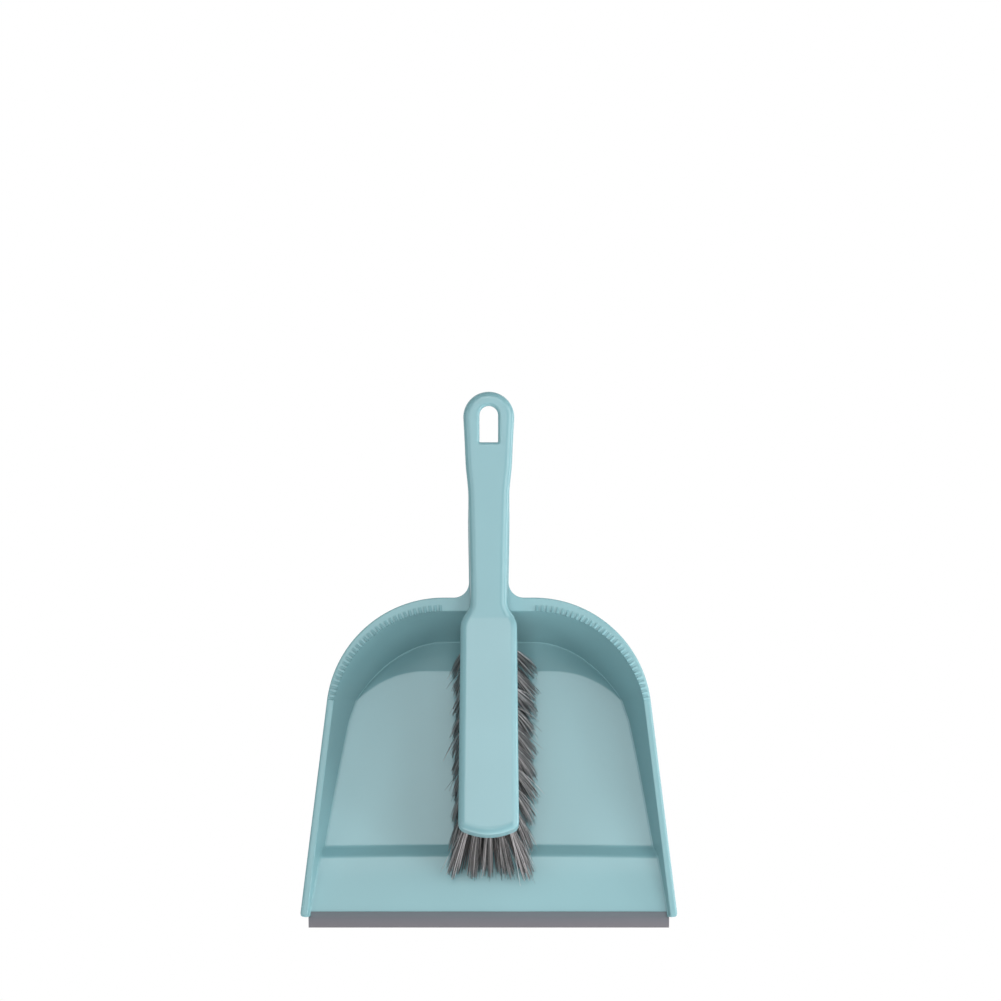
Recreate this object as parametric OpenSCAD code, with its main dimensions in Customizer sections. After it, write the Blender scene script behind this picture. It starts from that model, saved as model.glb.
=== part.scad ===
// Dust pan with a hand brush that nests over it, hung together by one slot.
// Frame: +X right, +Z up, +Y towards the wall behind. The pan's rim lies in the plane y = 0,
// and the origin is the centre of the hanging slot's round top.
// "Depth" below means distance behind the rim plane, along +Y.

/* [Pan] */
// Height from the rim's back edge up to the centre of the hanging slot
slot_above_rim = 112.8; // [108:0.1:116]
// Half of the straight run at the back of the rim
back_half = 28; // [24:0.5:32]
// Radius of the rim's two back corners
corner_r = 73; // [68:0.5:76]
// How much each side spreads outwards towards the front, in degrees
side_taper = 7.1; // [5:0.1:9]
// Length from the rim's back edge to the front edge of the ramp
pan_len = 198.7; // [190:0.1:205]
// Thickness of the moulded walls, floor and flange
wall = 2; // [1.6:0.1:2.4]
// Width of the rim's flange at the back
flange_back = 8.4; // [7:0.1:10]
// Width of the rim's flange along the sides
flange_side = 4.3; // [4:0.1:5]
// Lean of the side walls from upright, in degrees
wall_draft = 15.7; // [14:0.1:20]
// Slope of the floor against the rim plane, in degrees
floor_tilt = 15.6; // [13:0.1:17]

/* [Step and ramp] */
// Distance from the rim's back edge to the foot of the dirt step
step_from_back = 156.1; // [148:0.1:160]
// Length of the step's sloping face, measured along the pan
step_run = 5.4; // [4:0.1:8]
// Depth of the floor at the foot of the step
foot_depth = 19.5; // [17:0.1:22]
// Depth of the step's crest
crest_depth = 12; // [11:0.1:14]
// Depth of the ramp at its front edge
ramp_depth = 5.5; // [5:0.1:7]

/* [Comb teeth] */
// Distance between comb teeth along the rim
tooth_pitch = 3.5; // [3:0.1:5]
// Length of a tooth across the flange
tooth_len = 3.6; // [3:0.1:4]
// Width of a tooth along the rim
tooth_w = 1.7; // [1:0.1:2]
// Height of a tooth above the flange
tooth_h = 0.9; // [0.5:0.1:1.5]

/* [Lip] */
// Full length of the soft lip
lip_len = 224; // [221:0.5:226]
// Length of its upper part, which grips the ramp between the side walls
lip_grip_len = 221; // [210:0.5:221]
// How much of the ramp the lip covers
lip_cover = 3.6; // [3:0.1:6]
// How far the lip reaches past the ramp
lip_reach = 6.6; // [5:0.1:7]

/* [Brush] */
// Radius of the round end of the handle
head_r = 15.8; // [14:0.1:17]
// Height of the handle's crown in front of the rim plane
crown = 15; // [14:0.1:18]
// Wall of the brush's hollow handle
shell = 2.2; // [1.8:0.1:2.4]
// Distance from the slot's centre down to the fold between handle and block
slot_to_fold = 124.9; // [122:0.1:128]
// Angle of the block against the handle, in degrees
block_tilt = 15; // [12:0.1:16]
// Length of the block
block_len = 135.5; // [134:0.5:138]
// Thickness of the block
block_t = 14; // [12:0.1:15]
// Half width of the block just below the fold
block_half_top = 17.5; // [17:0.1:18]
// Half width of the block near its end
block_half_end = 18.6; // [18.5:0.1:20]

/* [Bristles] */
// Number of crosswise rows of tufts
rows = 19; // [19:2:19]
// Distance of the first row from the fold, along the block
first_row = 17; // [16:0.5:20]
// Distance between rows
row_pitch = 6.2; // [6.1:0.1:6.2]
// Distance between the tufts of one row
tuft_pitch = 6.8; // [6.6:0.1:7]
// Length of the bristles outside the block
bristle_len = 52; // [40:1:52]
// Radius of a tuft at the block
tuft_r = 2.08; // [1.8:0.01:2.08]
// Radius of a tuft at its tips
tuft_tip_r = 3.1; // [2.4:0.1:3.2]
// Sideways spread of the outermost tufts, in degrees
fan_side = 12; // [8:0.5:14]
// Sideways lean that the tufts have taken, in degrees, which fades out in the last four rows
lean = 3.5; // [0:0.5:4]
// Extra lean of the last row past the end of the block, in degrees
fan_end = 22; // [10:0.5:22]
// Number of rows that lean out past the end of the block, each more than the one before
fan_rows = 5; // [4:1:6]

/* [Slot] */
// Radius of the slot's round top, which is half of its width
slot_r = 5.7; // [5:0.1:6]
// Distance from the slot's centre down to its square bottom
slot_drop = 16.6; // [12:0.1:18]

/* [Hidden] */

mint = [0.55, 0.76, 0.79];
mint_light = [0.62, 0.82, 0.85];
lip_grey = [0.42, 0.43, 0.46];
bristle_grey = [0.46, 0.43, 0.42];
steel = [0.75, 0.75, 0.77];

rim_z = -slot_above_rim;
front_z = rim_z - pan_len;
foot_z = rim_z - step_from_back;
crest_z = foot_z - step_run;
fold_z = -slot_to_fold;
corner_z = rim_z - corner_r;
tangent_x = back_half + corner_r * cos(side_taper);
tangent_z = corner_z + corner_r * sin(side_taper);
floor_slope = tan(floor_tilt);
draft_slope = tan(wall_draft);
floor_drop = wall / cos(floor_tilt);

// The flange's rounded outer edge, and the blend between wall and floor
edge_r = 1;
blend = 3;
blend_rise = 3.5;
blend_bulge = 1;
under_shift = 0.4;
crescent_wall_depth = 36;
crescent_wall_offset = 28.6;
crescent_floor_offset = 47.3;

// Clearances between the nested handles
nest_gap = 0.5;
hat_inset = shell + 0.4;
hat_crown = crown - shell - nest_gap;
hat_end_z = rim_z - 5;
plate_lip = 0.7;
neck_fillet = 9.3;
cavity_end_z = rim_z - 9;

hole_r = 2.1;
hole_deep = 9;
anchor_size = [3.9, 0.5, 2];
fold_deep = 2.5;
epsilon = 0.05;

function lerp(a, b, t) = a + (b - a) * t;
function unit(v) = v / norm(v);
function perp(v) = [-v[1], v[0]];
function row_name(i) = str("tuft_row_", i < 10 ? "0" : "", i);

// ---- Pan surface ----

// Depth of the pan's inner face on the centre line, at height z
function floor_depth(z) = foot_depth + (z - foot_z) * floor_slope;
function ramp_at(z) =
    lerp(ramp_depth, crest_depth, pow(max(0, z - front_z) / (crest_z - front_z), 1.5));
function face_depth(z) =
    z >= foot_z ? floor_depth(z)
    : z >= crest_z ? lerp(crest_depth, foot_depth, (z - crest_z) / step_run)
    : ramp_at(z);

// The blend fades out towards the shallow front of the pan
function blend_at(depth) = min(blend, max(0.3, (depth - 5) * 0.45));

// A wall profile is a list of [distance inwards from the rim's edge, depth]. It runs from the
// flange's outer edge over the visible face to the floor, and back along the hidden face.
function profile(flange, w, e, under) =
    let (a = [flange, 0.4],
         m = (w + e) / 2 + blend_bulge * perp(unit(e - w)),
         slope = (w[0] - flange) / w[1],
         n1 = perp(unit(w - a)),
         n2 = perp(unit(m - w)),
         n3 = perp(unit(e - m)))
    [[0, edge_r], [edge_r * 0.3, edge_r * 0.3], [edge_r, 0], [flange - 0.4, 0], a, w, m, e,
     under, m + wall * unit(n2 + n3), w + wall * unit(n1 + n2),
     [flange + wall * slope - wall * sqrt(1 + slope * slope), wall],
     [edge_r, wall], [edge_r * 0.3, wall - edge_r * 0.3]];
TOP_EDGE = 7;
UNDER_EDGE = 8;
RING = 14;

// One station of the rim: its edge point, its inward direction and its wall profile
function side_station(z) =
    let (depth = face_depth(z),
         b = blend_at(depth),
         corner = flange_side + depth * draft_slope,
         rise = min(blend_rise, depth * 0.45),
         e = corner + b,
         z_rim = z + e * sin(side_taper),
         x_rim = tangent_x + (tangent_z - z_rim) * tan(side_taper))
    [[x_rim, z_rim], [-cos(side_taper), -sin(side_taper)],
     profile(flange_side, [corner - rise * draft_slope, depth - rise], [e, depth],
             [e - under_shift, face_depth(z + under_shift * sin(side_taper)) + floor_drop])];

side_floor_offset =
    (flange_side + blend + draft_slope * floor_depth(tangent_z))
    / (1 + draft_slope * sin(side_taper) * floor_slope);
side_wall_offset = side_floor_offset - blend - blend_rise * draft_slope;
corner_row_z = tangent_z - side_floor_offset * sin(side_taper);

// Around a corner, u runs from 0 at the side to 1 at the back. The blend widens into a crescent.
function ease(u, power) = 1 - pow(1 - u, power);
function flange_at(u) = lerp(flange_side, flange_back, ease(u, 2));
function corner_profile(u, z_rim, inward_z) =
    let (flange = flange_at(u),
         w_off = lerp(side_wall_offset, crescent_wall_offset, ease(u, 3)),
         e_off = lerp(side_floor_offset, crescent_floor_offset, ease(u, 2)),
         z_e = z_rim + inward_z * e_off,
         w_depth = lerp(floor_depth(corner_row_z) - blend_rise, crescent_wall_depth, u))
    profile(flange, [w_off, w_depth], [e_off, floor_depth(z_e)],
            [e_off - under_shift, floor_depth(z_e - inward_z * under_shift) + floor_drop]);
function corner_station(u) =
    let (a = lerp(side_taper, 90, u),
         z_rim = corner_z + corner_r * sin(a))
    [[back_half + corner_r * cos(a), z_rim], [-cos(a), -sin(a)],
     corner_profile(u, z_rim, -sin(a))];
function back_station(x) = [[x, rim_z], [0, -1], corner_profile(1, rim_z, -1)];
function mirrored(s) = [[-s[0][0], s[0][1]], [-s[1][0], s[1][1]], s[2]];

RAMP_ROWS = 5;
FLOOR_ROWS = 5;
CORNER_ROWS = 18;
BACK_COLUMNS = 5;
right_side = concat(
    [for (i = [0 : RAMP_ROWS]) side_station(lerp(front_z, crest_z, i / RAMP_ROWS))],
    [for (i = [0 : FLOOR_ROWS - 1])
        side_station(lerp(foot_z, corner_row_z, i / FLOOR_ROWS))],
    [for (i = [0 : CORNER_ROWS]) corner_station(i / CORNER_ROWS)]);
half_count = len(right_side);
stations = concat(
    [for (s = right_side) mirrored(s)],
    [for (j = [1 : BACK_COLUMNS])
        back_station(lerp(-back_half, back_half, j / (BACK_COLUMNS + 1)))],
    [for (k = [half_count - 1 : -1 : 0]) right_side[k]]);
count = len(stations);

function ring(s) = [for (p = s[2]) [s[0][0] + s[1][0] * p[0], p[1], s[0][1] + s[1][1] * p[0]]];
rings = [for (s = stations) ring(s)];

// Floor points between the two sides of a row, on the upper (0) or lower (1) face
function floor_row(k, face) =
    let (a = rings[k][TOP_EDGE + face], b = rings[count - 1 - k][TOP_EDGE + face])
    [for (j = [1 : BACK_COLUMNS]) lerp(a, b, j / (BACK_COLUMNS + 1))];
floor_points = [for (face = [0, 1]) for (k = [0 : half_count - 2]) each floor_row(k, face)];

function ring_index(i, j) = i * RING + j;
function floor_index(k, j, face) =
    j == 0 ? ring_index(k, TOP_EDGE + face)
    : j == BACK_COLUMNS + 1 ? ring_index(count - 1 - k, TOP_EDGE + face)
    : k == half_count - 1 ? ring_index(k + j, TOP_EDGE + face)
    : count * RING + (face * (half_count - 1) + k) * BACK_COLUMNS + j - 1;
function quad(a, b, c, d) = [[a, c, b], [a, d, c]];

wall_faces = [for (i = [0 : count - 2]) for (j = [0 : RING - 2])
    let (p = (UNDER_EDGE + j) % RING, q = (p + 1) % RING)
    each quad(ring_index(i, p), ring_index(i, q), ring_index(i + 1, q), ring_index(i + 1, p))];
floor_faces = [for (k = [0 : half_count - 2]) for (j = [0 : BACK_COLUMNS]) each concat(
    quad(floor_index(k, j, 0), floor_index(k, j + 1, 0),
         floor_index(k + 1, j + 1, 0), floor_index(k + 1, j, 0)),
    quad(floor_index(k, j, 1), floor_index(k + 1, j, 1),
         floor_index(k + 1, j + 1, 1), floor_index(k, j + 1, 1)))];
front_faces = [for (j = [0 : BACK_COLUMNS]) each
    quad(floor_index(0, j, 1), floor_index(0, j + 1, 1),
         floor_index(0, j + 1, 0), floor_index(0, j, 0))];
end_faces = [
    [for (j = [0 : RING - 1]) ring_index(0, j)],
    [for (j = [0 : RING - 1]) ring_index(count - 1, RING - 1 - j)]];

module pan_shell() {
    polyhedron(
        points = concat([for (r = rings) each r], floor_points),
        faces = concat(wall_faces, floor_faces, front_faces, end_faces));
}

// ---- Handles ----

// Half width of the brush's handle at height z, between the round end and the block's shoulder
handle_keys = [
    [-1.2, 15.8], [-17, 14.95], [-32, 14.25], [-40, 13.35], [-47, 12.75], [-64, 12.3],
    [-88, 11.75], [-106, 11.5], [-116, 11.5], [-120, 12.8], [-122.7, 14.4], [-125, 16.1],
    [-128, 17.3], [-133, 17.5]];
function handle_half(z) = lookup(-z, [for (k = handle_keys) [-k[0], k[1]]]);
head_z = handle_keys[0][0];

HEAD_STEPS = 24;
SIDE_STEP = 4;
// Outline of the handle, pulled in by inset, from its round end down to z_end
function handle_outline(inset, z_end) =
    let (arc = [for (i = [0 : HEAD_STEPS]) let (a = 90 - 90 * i / HEAD_STEPS)
            [(head_r - inset) * cos(a), head_z + (head_r - inset) * sin(a)]],
         side = [for (z = [head_z - SIDE_STEP : -SIDE_STEP : z_end + 1])
            [handle_half(z) - inset, z]],
         half = concat(arc, side, [[handle_half(z_end) - inset, z_end]]))
    concat(half, [for (i = [len(half) - 1 : -1 : 1]) [-half[i][0], half[i][1]]]);

// An outline in the XZ plane, extruded from depth y0 to depth y1
module slab(points, y0, y1) {
    translate([0, y1, 0])
        rotate([90, 0, 0])
            linear_extrude(height = y1 - y0) polygon(points);
}

module slot_cut() {
    translate([0, 10, 0]) rotate([90, 0, 0]) {
        cylinder(r = slot_r, h = 60, $fn = 64);
        translate([-slot_r, -slot_drop, 0]) cube([2 * slot_r, slot_drop, 60]);
    }
}

// Concave fillets where the handle's edge plate runs into the rim
module neck_fillets() {
    half = handle_half(rim_z + neck_fillet) + plate_lip;
    for (side = [-1, 1])
        difference() {
            translate([side * (half + neck_fillet / 2 - 1), wall / 2, rim_z + neck_fillet / 2 - 0.5])
                cube([neck_fillet + 2, wall, neck_fillet + 1], center = true);
            translate([side * (half + neck_fillet), wall + 1, rim_z + neck_fillet])
                rotate([90, 0, 0]) cylinder(r = neck_fillet, h = wall + 2, $fn = 64);
        }
}

function plate_inset(z) = -plate_lip * min(1, max(-0.4, (head_z - 40 - z) / 40));
function plate_outline(z_end) =
    let (head = handle_outline(0.3, head_z - SIDE_STEP),
         right = [for (z = [head_z - 2 * SIDE_STEP : -SIDE_STEP : z_end])
            [handle_half(z) - plate_inset(z), z]],
         arc = [for (p = head) if (p[0] >= 0 && p[1] > head_z - SIDE_STEP) p],
         half = concat(arc, right, [[handle_half(z_end) - plate_inset(z_end), z_end]]))
    concat(half, [for (i = [len(half) - 1 : -1 : 1]) [-half[i][0], half[i][1]]]);

module pan_handle() {
    rib_t = 1.6;
    difference() {
        union() {
            slab(plate_outline(rim_z - 3), 0, wall);
            slab(handle_outline(hat_inset, hat_end_z), -hat_crown, wall);
            neck_fillets();
        }
        difference() {
            slab(handle_outline(hat_inset + wall, rim_z + 1), -hat_crown + wall, wall + 1);
            for (z = [-38, -62, -86])
                translate([0, -hat_crown / 2 + 2, z])
                    cube([2 * head_r, hat_crown, rib_t], center = true);
        }
        slot_cut();
    }
}

module comb_teeth() {
    step = tooth_pitch / corner_r * 180 / PI;
    for (side = [-1, 1])
        for (a = [side_taper + 1.5 : step : 89]) {
            flange = flange_at((a - side_taper) / (90 - side_taper));
            translate([side * back_half, 0, corner_z])
                rotate([0, side > 0 ? -a : a - 180, 0])
                    translate([corner_r - flange + 0.1, -tooth_h, -tooth_w / 2])
                        cube([tooth_len, tooth_h + 0.5, tooth_w]);
        }
}

module pan_body() {
    color(mint) {
        pan_shell();
        pan_handle();
        comb_teeth();
    }
}

module pan_lip() {
    top = ramp_depth - epsilon;
    under = ramp_at(front_z + lip_cover) + floor_drop + epsilon;
    tip_z = front_z - lip_reach;
    ground = floor_depth(tip_z) + floor_drop;
    wing = (lip_len - lip_grip_len) / 2;
    color(lip_grey)
        difference() {
            translate([-lip_len / 2, 0, 0])
                rotate([90, 0, 90])
                    linear_extrude(height = lip_len)
                        polygon([
                            [top - 0.7, front_z + lip_cover], [top - 0.7, front_z],
                            [top - 0.2, front_z - 1.6], [ground - 0.8, tip_z],
                            [ground, tip_z + 0.2],
                            [under + 1, front_z], [under + 1, front_z + lip_cover],
                            [under, front_z + lip_cover], [under, front_z - epsilon],
                            [top, front_z - epsilon], [top, front_z + lip_cover]]);
            for (side = [-1, 1])
                translate([side * (lip_len - wing + epsilon) / 2, 6, front_z - epsilon + 5])
                    cube([wing + epsilon, 20, 10], center = true);
        }
}

// ---- Brush ----

// Places its children in the block's frame: -Z along the block, +Y along the bristles,
// with the origin on the fold, in the block's face
module on_block() {
    translate([0, -crown, fold_z]) rotate([-block_tilt, 0, 0]) children();
}

// Outline of the block: a shoulder, straight sides that spread, round corners and a bowed end
BLOCK_CORNER = 5.5;
END_BOW = 2.9;
function block_outline() =
    let (shoulder = [[16, 0], [17.1, -3], [block_half_top, -8]],
         corner_z0 = -(block_len - BLOCK_CORNER - END_BOW),
         corner = [for (i = [0 : 8]) let (a = -i * 75 / 8)
            [block_half_end - BLOCK_CORNER * (1 - cos(a)), corner_z0 + BLOCK_CORNER * sin(a)]],
         last = corner[len(corner) - 1],
         bow = [for (i = [1 : 6]) let (x = last[0] * (1 - i / 6))
            [x, lerp(-block_len, last[1], pow(x / last[0], 2))]],
         half = concat(shoulder, corner, bow))
    concat([[0, 0]], half, [for (i = [len(half) - 2 : -1 : 0]) [-half[i][0], half[i][1]]]);

function row_at(i) = -(first_row + (i - 1) * row_pitch);
function tufts_in(i) = i % 2 == 1 ? 5 : 4;
function tuft_x(i, k) = (k - (tufts_in(i) - 1) / 2) * tuft_pitch;
widest_x = 2 * tuft_pitch;

// Places its children at the mouth of a tuft's hole, with +Z along the tuft: the last rows lean
// out past the end of the block, and each tuft leans sideways with its distance from the middle
function end_lean(i) = fan_end * max(0, i - rows + fan_rows) / fan_rows;
function side_lean(i, x) = lean * min(1, (rows - i) / 4) + fan_side * x / widest_x;
module tuft_frame(i, k) {
    x = tuft_x(i, k);
    translate([x, block_t, row_at(i)])
        rotate([-end_lean(i), 0, 0])
            rotate([0, 0, -side_lean(i, x)])
                rotate([-90, 0, 0]) children();
}

module tuft_holes() {
    for (i = [1 : rows])
        for (k = [0 : tufts_in(i) - 1])
            tuft_frame(i, k)
                translate([0, 0, -hole_deep]) cylinder(r = hole_r, h = hole_deep + 3, $fn = 32);
}

module brush_body() {
    color(mint_light)
        difference() {
            union() {
                slab(handle_outline(0, fold_z - 4), -crown, -nest_gap);
                on_block() slab(block_outline(), 0, block_t);
            }
            slab(handle_outline(shell, cavity_end_z), -crown + shell, 1);
            slot_cut();
            on_block() tuft_holes();
        }
}

// Half of the tuft is folded round its anchor at the bottom of the hole, so the anchor lies in it
module tuft_row(i) {
    color(bristle_grey)
        on_block()
            for (k = [0 : tufts_in(i) - 1])
                tuft_frame(i, k)
                    difference() {
                        union() {
                            cylinder(r1 = tuft_r, r2 = tuft_tip_r, h = bristle_len, $fn = 32);
                            translate([0, 0, epsilon - hole_deep])
                                cylinder(r = tuft_r, h = hole_deep - epsilon, $fn = 32);
                        }
                        translate([0, 0, fold_deep - hole_deep])
                            cube(anchor_size + [1, 0.1, 0.1], center = true);
                    }
}

module tuft_anchors() {
    color(steel)
        on_block()
            for (i = [1 : rows])
                for (k = [0 : tufts_in(i) - 1])
                    tuft_frame(i, k)
                        translate([0, 0, fold_deep - hole_deep])
                            cube(anchor_size, center = true);
}

pan_body();
pan_lip();
brush_body();
tuft_anchors();
for (i = [1 : rows])
    tuft_row(i);
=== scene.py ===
"""Dust pan with a hand brush nested over it, hung together by one slot.

Everything is built in millimetres in the row frame and scaled to metres when a mesh is made.
+X is right, +Z is up and +Y points to the wall behind. The rim of the pan lies in the plane
y = 0, and "depth" means distance behind that plane.
"""
import math
import random

import bmesh
import bpy
import numpy as np
from mathutils import Matrix, Vector


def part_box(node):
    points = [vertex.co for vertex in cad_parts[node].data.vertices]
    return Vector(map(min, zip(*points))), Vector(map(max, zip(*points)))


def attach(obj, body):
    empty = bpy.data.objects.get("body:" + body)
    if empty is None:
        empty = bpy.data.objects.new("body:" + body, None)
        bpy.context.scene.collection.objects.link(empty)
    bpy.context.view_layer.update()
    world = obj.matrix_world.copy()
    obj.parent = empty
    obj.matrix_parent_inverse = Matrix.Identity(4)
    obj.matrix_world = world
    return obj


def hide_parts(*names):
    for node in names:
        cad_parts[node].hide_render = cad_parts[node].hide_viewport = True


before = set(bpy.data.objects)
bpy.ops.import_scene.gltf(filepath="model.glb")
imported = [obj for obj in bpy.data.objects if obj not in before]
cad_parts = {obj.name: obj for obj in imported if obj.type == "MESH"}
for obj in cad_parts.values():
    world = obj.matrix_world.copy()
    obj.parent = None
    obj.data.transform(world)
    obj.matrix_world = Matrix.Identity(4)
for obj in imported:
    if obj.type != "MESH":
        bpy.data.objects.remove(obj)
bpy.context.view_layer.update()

MM = 0.001
WELD = 0.002 * MM


pan_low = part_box("pan_body")[0] / MM
lip_low, lip_high = (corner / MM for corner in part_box("pan_lip"))
tuft_rows = sorted(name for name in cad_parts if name.startswith("tuft_row_"))

# ---- Driving dimensions, in millimetres ----

# Pan
RIM_Z = -112.8
BACK_HALF = 28.0
CORNER_R = 73.0
TAPER = math.radians(7.1)
WALL = 2.0
FLANGE_BACK = 8.4
FLANGE_SIDE = 4.3
DRAFT_SLOPE = math.tan(math.radians(15.7))
FLOOR_SLOPE = math.tan(math.radians(15.6))
FRONT_Z = pan_low.z
CORNER_Z = RIM_Z - CORNER_R
TANGENT_X = BACK_HALF + CORNER_R * math.cos(TAPER)
TANGENT_Z = CORNER_Z + CORNER_R * math.sin(TAPER)

# Step and ramp
FOOT_Z = RIM_Z - 156.1
CREST_Z = FOOT_Z - 5.4
FOOT_DEPTH = 19.5
CREST_DEPTH = 12.0
RAMP_DEPTH = 5.5
RAMP_POWER = 1.5
CREST_ROUND = 1.5
FOOT_ROUND = 1.4
CREST_BOW = 0.9
BOW_FADE = 25.0
BOW_MARGIN = 4.0

# Rim: how far its outer edge rolls in, and the rounded turn from the flange to the wall
ROLL_SIDE = 2.3
ROLL_BACK = 1.1
ROLL_DEPTH = 1.15
FLANGE_TURN = 0.55
HIDDEN_ROLL = 0.7
HIDDEN_ROLL_DEPTH = 1.25
HIDDEN_TURN = 0.7

# Rim's front corners: (amount, length from the front) of the thinning and the drawing in
FRONT_THIN = (0.55, 0.9)
FRONT_DRAW = (1.4, 2.6)
DRAW_MARGIN = 0.4

# Blend between the walls and the floor, which widens into a crescent at the back. The relief is
# how far a side wall's foot stands back, and the lengths over which that grows, holds and fades.
BLEND = 0.9
BLEND_RISE = 1.0
BLEND_SHARE = 0.45
RELIEF = 1.6
RELIEF_GROWS = 14.0
RELIEF_HOLDS = 30.0
RELIEF_FADES = 85.0
LEDGE = 0.6
HIDDEN_LEDGE = 0.05
CRESCENT_WALL = (28.6, 36.0)
CRESCENT_FLOOR_OFFSET = 47.3
CRESCENT_BULGE = 1.6
CRESCENT_STEPS = 14
FLOOR_LAND = 1.0

# How close the mesh's rows lie to the edges at the foot of a wall, the last as a share of
# FLOOR_LAND
WALL_STOP = 0.6
FOOT_CUT = 0.12
LEDGE_CUT = 0.15
FLOOR_CUT = 0.5
FLOOR_SHARE = 0.6

# Comb teeth along the rim
TOOTH_PITCH = 3.5
TOOTH_LEN = 3.9
TOOTH_W = 1.8
TOOTH_H = 2.3
TOOTH_INSIDE = 0.05
COMB_START = TAPER + math.radians(1.5)
COMB_END = math.radians(89)
# Across a tooth: (place as a share of its width, level as a share of its height)
TOOTH_SHAPE = [(-0.5, -0.4), (-0.5, 0.3), (-0.42, 0.8), (-0.26, 1.0),
               (0.26, 1.0), (0.42, 0.8), (0.5, 0.3), (0.5, -0.4)]

# Handles
HEAD_Z = -1.2
HEAD_R = 15.8
CROWN = 15.0
SHELL = 2.2
NEST_GAP = 0.5
HAT_INSET = SHELL + 0.4
HAT_CROWN = CROWN - SHELL - NEST_GAP
SLOT_R = 5.7
SLOT_DROP = 16.6
SLOT_CORNER = 0.5
SLOT_FLARE = 2.2
HAT_FLARE = 0.3
HAT_ROUND = 1.2
PLATE_ROUND = 0.7
BACK_ROUND = 0.7
CAVITY_CORNER = 0.8
NECK_FILLET = 9.3
RIB_Z = (-38, -62, -86)
RIB_HALF = 0.8
PROUD = 0.02

# Brush block
FOLD_Z = -124.9
BLOCK_TILT = math.radians(15)
BLOCK_LEN = 135.5
BLOCK_T = 14.0
BLOCK_END_HALF = 18.6
BLOCK_CORNER = 5.5
EDGE_ROUND = (3.2, 4.7)
END_BOW = 2.9
FOLD_ROUND = 0.45
# The brush thins to BLOCK_T over this length on each side of the fold
THIN_HALF = 6.0
# Steps between the mesh's rows along the brush, and near its shoulder
ROW_STEP = 2.4
FINE_STEP = 0.9

# Tufts
FIRST_ROW = 17.0
ROW_PITCH = 6.2
TUFT_PITCH = 6.8
BRISTLE_LEN = 52.0
HOLE_R = 2.1
HOLE_DEPTH = 9.0
SINK_DEPTH = 0.35
SINK_WIDTH = 0.45
FAN_SIDE = 12.0
LEAN = 3.5
LEAN_ROWS = 4
FAN_END = 22.0
FAN_ROWS = 5

# Lip
GRIP_HALF = 110.5
LIP_T = 0.7
LIP_GAP = 0.05

# ---- Small helpers ----


def lerp(a, b, t):
    return a + (b - a) * t


def unit(vector):
    return vector / np.linalg.norm(vector)


def ease(u, power):
    return 1 - (1 - u) ** power


def smooth(t):
    t = min(1.0, max(0.0, t))
    return t * t * (3 - 2 * t)


def bezier(a, control, b, steps):
    """Points along the curve from a to b that control pulls on, both ends included."""
    a, control, b = (np.array(p, float) for p in (a, control, b))
    return [
        a * (1 - t) ** 2 + control * 2 * t * (1 - t) + b * t * t
        for t in np.linspace(0, 1, steps + 1)
    ]


def filleted(points, cuts, steps=3):
    """A polyline with rounded corners. Each cut is how far from its corner the curve starts."""
    points = [np.array(p, float) for p in points]
    out = [points[0]]
    for before, corner, after, cut in zip(points, points[1:], points[2:], cuts):
        start = corner + unit(before - corner) * cut
        end = corner + unit(after - corner) * cut
        out += bezier(start, corner, end, steps)
    return out + [points[-1]]


def directions(points):
    """The unit direction of a path at each of its points, taken between their neighbours."""
    ahead = np.vstack([points[1:], [points[-1] + points[-1] - points[-2]]])
    behind = np.vstack([[points[0] + points[0] - points[1]], points[:-1]])
    along = ahead - behind
    return along / np.linalg.norm(along, axis=1)[:, None]


def hermite(keys, at):
    """A smooth value at one place along a falling or rising list of (place, value) keys."""
    if keys[0][0] > keys[-1][0]:
        keys = keys[::-1]
    places = [k[0] for k in keys]
    values = [k[1] for k in keys]
    at = min(max(at, places[0]), places[-1])
    i = min(max(int(np.searchsorted(places, at)) - 1, 0), len(keys) - 2)

    def tangent(j):
        low, high = max(j - 1, 0), min(j + 1, len(keys) - 1)
        return (values[high] - values[low]) / (places[high] - places[low])

    span = places[i + 1] - places[i]
    t = (at - places[i]) / span
    return (
        (1 + 2 * t) * (1 - t) ** 2 * values[i]
        + t * (1 - t) ** 2 * span * tangent(i)
        + t * t * (3 - 2 * t) * values[i + 1]
        + t * t * (t - 1) * span * tangent(i + 1)
    )


def make_object(name, points, faces):
    """A mesh object from points in millimetres, with its faces turned outwards."""
    mesh = bpy.data.meshes.new(name)
    mesh.from_pydata([tuple(np.array(p, float) * MM) for p in points], [], faces)
    work = bmesh.new()
    work.from_mesh(mesh)
    bmesh.ops.remove_doubles(work, verts=work.verts, dist=WELD)
    bmesh.ops.recalc_face_normals(work, faces=work.faces)
    work.to_mesh(mesh)
    work.free()
    made = bpy.data.objects.new(name, mesh)
    bpy.context.scene.collection.objects.link(made)
    return made


def boolean(target, tool, operation):
    """Joins or cuts target with tool, applies the result and deletes the tool."""
    modifier = target.modifiers.new("shape", "BOOLEAN")
    modifier.operation = operation
    modifier.solver = "EXACT"
    modifier.object = tool
    bpy.context.view_layer.update()
    result = bpy.data.meshes.new_from_object(
        target.evaluated_get(bpy.context.evaluated_depsgraph_get()))
    target.modifiers.clear()
    old, target.data = target.data, result
    bpy.data.meshes.remove(old)
    bpy.data.objects.remove(tool)
    return target


def shade(made, sharp_degrees=32):
    """Smooth faces with sharp edges kept, and flat faces that stay flat beside rounded ones."""
    mesh = made.data
    mesh.polygons.foreach_set("use_smooth", [True] * len(mesh.polygons))
    mesh.set_sharp_from_angle(angle=math.radians(sharp_degrees))
    weighted = made.modifiers.new("normals", "WEIGHTED_NORMAL")
    weighted.keep_sharp = True
    weighted.weight = 80
    return made


def finish_piece(made, body, slot, material, *nodes):
    made.data.materials.clear()
    made.data.materials.append(material)
    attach(made, body)
    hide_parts(*nodes)
    return made


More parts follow.
